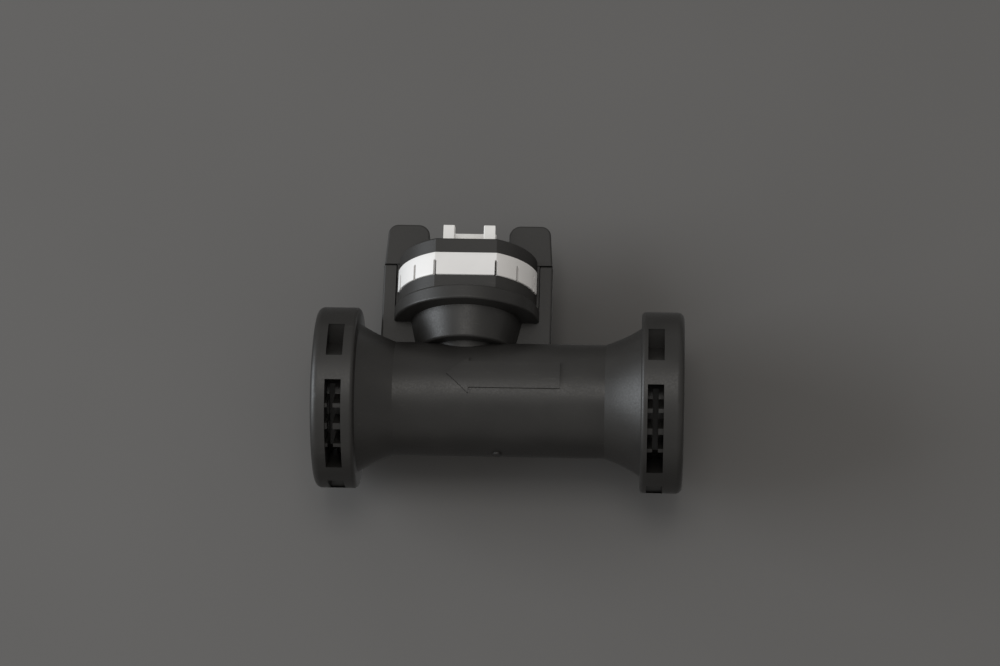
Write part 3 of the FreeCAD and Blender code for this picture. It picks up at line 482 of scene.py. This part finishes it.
class FLOWSENSOR_OT_band(bpy.types.Operator):
    """Build the bare white band round the head's front and sides, slit and with rounded edges"""

    bl_idname = "flow_sensor.band"
    bl_label = "Marking band"

    def execute(self, context):
        look = context.scene.flow_sensor_band
        low, high = (np.array(corner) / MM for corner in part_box("marking_band"))
        angles, lower = band_columns(look)
        outer = flatted_reach(angles, look.outer_radius, look.outer_flat)
        inner = flatted_reach(
            angles, look.outer_radius - look.thickness, look.outer_flat - look.thickness
        )
        # Each column is the section at an angle from the front, between the inner and the outer
        # reach: x = reach * sine(angle), y = -reach * cosine(angle).
        rows = rounded_section(look.edge)
        out, inward, up, upward = (column[None, :] for column in rows.T)
        reach = inner[:, None] + (outer - inner)[:, None] * out + inward
        foot = low[2] + lower[:, None]
        height = foot + (high[2] - foot) * up + upward
        x = reach * np.sin(angles)[:, None]
        y = -reach * np.cos(angles)[:, None]
        points = np.stack([x, y, height], axis=-1)
        count = points.shape[1]
        faces = tube_faces(len(angles), count)
        start = np.arange(count)
        last = (start + (len(angles) - 1) * count)[::-1]
        points, faces = points.reshape(-1, 3), object_rows([*faces, start, last])
        piece = mesh_piece("marking_band_skin", points, faces, "marking_band")
        finish = smooth_white("band_white", tuple(look.colour), look.roughness, relief_mm=0.006)
        piece.data.materials.append(finish.material)
        dress(["marking_band"], finish)
        return {"FINISHED"}


class FLOWSENSOR_OT_ribs(bpy.types.Operator):
    """Build the ribs under the cover's ears, which fill most of the gap to each post"""

    bl_idname = "flow_sensor.ribs"
    bl_label = "Cover ribs"

    def execute(self, context):
        look = context.scene.flow_sensor_ribs
        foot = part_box("head_cover")[0][2] / MM + look.foot
        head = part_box("flow_tube")[1][2] / MM + look.overlap
        # The section from root to reach, carried straight up from the foot to the head.
        out, inward, across, sideways = rounded_section(look.edge).T
        x = look.root + (look.reach - look.root) * out + inward
        y = look.width * (across - 0.5) + sideways
        count = len(x)
        levels = [np.stack([x, y, np.full(count, height)], axis=-1) for height in (foot, head)]
        points = np.concatenate(levels)
        sides = tube_faces(2, count)[:, ::-1]
        start = np.arange(count)
        faces = object_rows([*sides, start[::-1], start + count])
        finish = NODES["head_cover"].data.materials[0]
        for name, side in (("inlet_cover_rib", 1), ("outlet_cover_rib", -1)):
            turned = points * (side, side, 1)
            piece = mesh_piece(name, turned, faces)
            piece.data.materials.append(finish)
        return {"FINISHED"}


class FLOWSENSOR_OT_connector(bpy.types.Operator):
    """Finish the white header and its tinned pins"""

    bl_idname = "flow_sensor.connector"
    bl_label = "Connector"

    def execute(self, context):
        look = context.scene.flow_sensor_connector
        header = smooth_white("header_white", tuple(look.colour), look.roughness, relief_mm=0.008)
        dress(["connector_header"], header)
        pins = plated("pin_tin", tuple(look.plating), roughness=0.3)
        dress([f"contact_pin_{n}" for n in (1, 2, 3)], pins)
        return {"FINISHED"}


def is_broad_side(centres, normals, low, high):
    """Faces that look along the y axis, as the two sides of the bending strip do."""
    return np.abs(normals[:, 1]) > BROAD_SIDE


def is_board_edge(centres, normals, low, high):
    """Faces that stand upright, as the walls of the board and its holes do."""
    return np.abs(normals[:, 2]) < BOARD_EDGE


def is_leg(centres, normals, low, high):
    """Faces near the board, as those of a chip's legs are."""
    return centres[:, 2] < low[2] + LEG_HEIGHT


def is_cap(centres, normals, low, high):
    """Faces at both ends of a part's longer side, as those of its metal caps are."""
    along = int(np.argmax((high - low)[:2]))
    cap = (high[along] - low[along]) * CAP_SHARE + CAP_MARGIN
    near = np.minimum(centres[:, along] - low[along], high[along] - centres[:, along])
    return near < cap


class FLOWSENSOR_OT_sensing(bpy.types.Operator):
    """Finish the paddle, the bending strip in it, its leads, the clamp and the seals"""

    bl_idname = "flow_sensor.sensing"
    bl_label = "Sensing parts"

    def execute(self, context):
        plating = tuple(context.scene.flow_sensor_connector.plating)
        seals = ["paddle_seal", "cover_seal"]
        for nodes, name, colour, roughness, grain_mm, relief_mm, contrast in (
            (["sensor_paddle"], "paddle_polymer", (0.62, 0.63, 0.6), 0.38, 0.1, 0.004, 0.05),
            (["paddle_clamp"], "clamp_grey", (0.1, 0.1, 0.1), 0.45, 0.14, 0.01, 0.12),
            (seals, "seal_rubber", (0.02, 0.02, 0.02), 0.62, 0.07, 0.006, 0.3),
            (["piezo_element"], "fired_ceramic", (0.55, 0.53, 0.45), 0.55, 0.05, 0.003, 0.12),
        ):
            dress(nodes, fine_mould(name, colour, roughness, grain_mm, relief_mm, contrast))
        silver = plated("silvered_face", (0.68, 0.67, 0.64), roughness=0.42)
        dress_where("piezo_element", silver, is_broad_side)
        dress(["piezo_lead_1", "piezo_lead_2"], plated("lead_tin", plating, roughness=0.32))
        return {"FINISHED"}


class FLOWSENSOR_OT_board(bpy.types.Operator):
    """Finish the circuit board and the parts on it"""

    bl_idname = "flow_sensor.board"
    bl_label = "Circuit board"

    def execute(self, context):
        dress(["circuit_board"], solder_mask("board_green", (0.03, 0.16, 0.06), roughness=0.32))
        laminate, mould, ceramic, film = (
            fine_mould(name, colour, roughness, grain_mm, relief_mm, contrast)
            for name, colour, roughness, grain_mm, relief_mm, contrast in (
                ("board_edge", (0.42, 0.4, 0.24), 0.6, 0.08, 0.01, 0.12),
                ("chip_mould", (0.03, 0.03, 0.03), 0.5, 0.06, 0.006, 0.25),
                ("capacitor_ceramic", (0.36, 0.25, 0.15), 0.5, 0.04, 0.004, 0.12),
                ("resistor_film", (0.05, 0.05, 0.06), 0.35, 0.05, 0.003, 0.12),
            )
        )
        tin = plated("leg_tin", (0.7, 0.69, 0.67), roughness=0.36)
        dress_where("circuit_board", laminate, is_board_edge)
        for nodes, body, is_metal in (
            (["signal_amplifier", "microcontroller"], mould, is_leg),
            (["voltage_regulator", "surge_diode"], mould, is_cap),
            ([f"filter_capacitor_{n}" for n in (1, 2, 3)], ceramic, is_cap),
            ([f"chip_resistor_{n}" for n in (1, 2, 3, 4)], film, is_cap),
        ):
            dress(nodes, body)
            for name in nodes:
                dress_where(name, tin, is_metal)
        return {"FINISHED"}


def add_camera(look):
    """A camera at the photograph's angle, aimed past the sensor as the picture frames it."""
    turn = Matrix.Rotation(look.azimuth, 3, "Z")
    tilt = Matrix.Rotation(-look.elevation, 3, "X")
    right, forward, up = (turn @ tilt).col
    place = right * look.aside * MM + up * look.above * MM - forward * look.distance
    cosine, sine = math.cos(look.roll), math.sin(look.roll)
    across, upright = right * cosine + up * sine, up * cosine - right * sine
    pose = Matrix((across, upright, -forward)).transposed()
    data = bpy.data.cameras.new("photo_camera")
    data.lens, data.sensor_width = look.lens, SENSOR_WIDTH
    data.clip_start, data.clip_end = CLIP_RANGE
    camera = bpy.data.objects.new("photo_camera", data)
    camera.matrix_world = Matrix.Translation(place) @ pose.to_4x4()
    bpy.context.scene.collection.objects.link(camera)
    bpy.context.scene.camera = camera


def table_material(colour):
    """A grey matt surface, clear from behind and to the lamp that lights the sensor's back."""
    finish = Finish("stage_table", colour, roughness=0.7, specular=0.0)
    cloud = finish.spread(finish.grain(60.0, 2.0), 0.3, 0.7)
    finish.set_colour(finish.blend(cloud, tone(colour, 0.98), tone(colour, 1.02)))
    behind = finish.add("ShaderNodeNewGeometry").outputs["Backfacing"]
    to_lamp = finish.add("ShaderNodeLightPath").outputs["Is Shadow Ray"]
    clear = finish.add("ShaderNodeBsdfTransparent")
    mix = finish.add("ShaderNodeMixShader")
    finish.feed(mix, 0, finish.combine("MAXIMUM", behind, to_lamp))
    finish.feed(mix, 1, finish.shader.outputs[0])
    finish.feed(mix, 2, clear.outputs[0])
    finish.feed(finish.output, "Surface", mix.outputs[0])
    return finish.material


def add_table(look):
    """The surface behind the sensor: it touches both collars and the back of the head."""
    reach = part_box("flow_tube")[1][1]
    tilt = look.table_tilt
    outwards = Vector((0, math.cos(tilt), math.sin(tilt)))
    across, along = Vector((1, 0, 0)), Vector((0, -math.sin(tilt), math.cos(tilt)))
    middle = outwards * (reach + TABLE_GAP * MM)
    corners = [
        middle + (across * a + along * b) * TABLE_HALF_WIDTH
        for a, b in ((-1, -1), (1, -1), (1, 1), (-1, 1))
    ]
    mesh = bpy.data.meshes.new("table")
    mesh.from_pydata([tuple(corner) for corner in corners], [], [(0, 1, 2, 3)])
    mesh.materials.append(table_material(tuple(look.table_colour)))
    table = bpy.data.objects.new("table", mesh)
    bpy.context.scene.collection.objects.link(table)


def add_lamp(name, place, width, power, colour):
    """A square area lamp that looks at the sensor."""
    data = bpy.data.lights.new(name, "AREA")
    data.shape, data.size, data.energy, data.color = "SQUARE", width, power, colour
    lamp = bpy.data.objects.new(name, data)
    away = Vector(place)
    facing = away.to_track_quat("Z", "Y").to_matrix().to_4x4()
    lamp.matrix_world = Matrix.Translation(away) @ facing
    bpy.context.scene.collection.objects.link(lamp)


def add_surround():
    """An even pale surround."""
    world = bpy.data.worlds.new("pale_surround")
    world.use_nodes = True
    background = world.node_tree.nodes["Background"]
    background.inputs["Color"].default_value = SURROUND_COLOUR
    background.inputs["Strength"].default_value = SURROUND_STRENGTH
    bpy.context.scene.world = world


class FLOWSENSOR_OT_stage(bpy.types.Operator):
    """Set the camera, the lamps, the pale surround and the surface that the sensor lies on"""

    bl_idname = "flow_sensor.stage"
    bl_label = "Stage"

    def execute(self, context):
        look = context.scene.flow_sensor_stage
        add_camera(look)
        add_table(look)
        for lamp in LAMPS:
            add_lamp(*lamp)
        add_surround()
        context.scene.view_settings.view_transform = "Standard"
        return {"FINISHED"}


# Add-on

GROUPS = (
    ("housing", HousingSettings),
    ("band", BandSettings),
    ("ribs", RibSettings),
    ("connector", ConnectorSettings),
    ("stage", StageSettings),
)
OPERATORS = (
    FLOWSENSOR_OT_housing,
    FLOWSENSOR_OT_band,
    FLOWSENSOR_OT_ribs,
    FLOWSENSOR_OT_connector,
    FLOWSENSOR_OT_sensing,
    FLOWSENSOR_OT_board,
    FLOWSENSOR_OT_stage,
)


class FLOWSENSOR_PT_panel(bpy.types.Panel):
    """Lists the sensor's pieces and their settings"""

    bl_idname = "FLOWSENSOR_PT_panel"
    bl_label = "Flow Sensor"
    bl_space_type = "VIEW_3D"
    bl_region_type = "UI"
    bl_category = "Flow Sensor"

    def draw(self, context):
        for operator in OPERATORS:
            self.layout.operator(operator.bl_idname)
        for name, group in GROUPS:
            box = self.layout.box()
            box.label(text=name.capitalize())
            for setting in group.__annotations__:
                box.prop(getattr(context.scene, f"flow_sensor_{name}"), setting)


def register():
    for name, group in GROUPS:
        bpy.utils.register_class(group)
        setattr(bpy.types.Scene, f"flow_sensor_{name}", PointerProperty(type=group))
    for item in (*OPERATORS, FLOWSENSOR_PT_panel):
        bpy.utils.register_class(item)


def unregister():
    for item in reversed((*OPERATORS, FLOWSENSOR_PT_panel)):
        bpy.utils.unregister_class(item)
    for name, group in reversed(GROUPS):
        delattr(bpy.types.Scene, f"flow_sensor_{name}")
        bpy.utils.unregister_class(group)


def main():
    register()
    for operator in OPERATORS:
        group, name = operator.bl_idname.split(".")
        getattr(getattr(bpy.ops, group), name)()


if __name__ == "__main__":
    main()
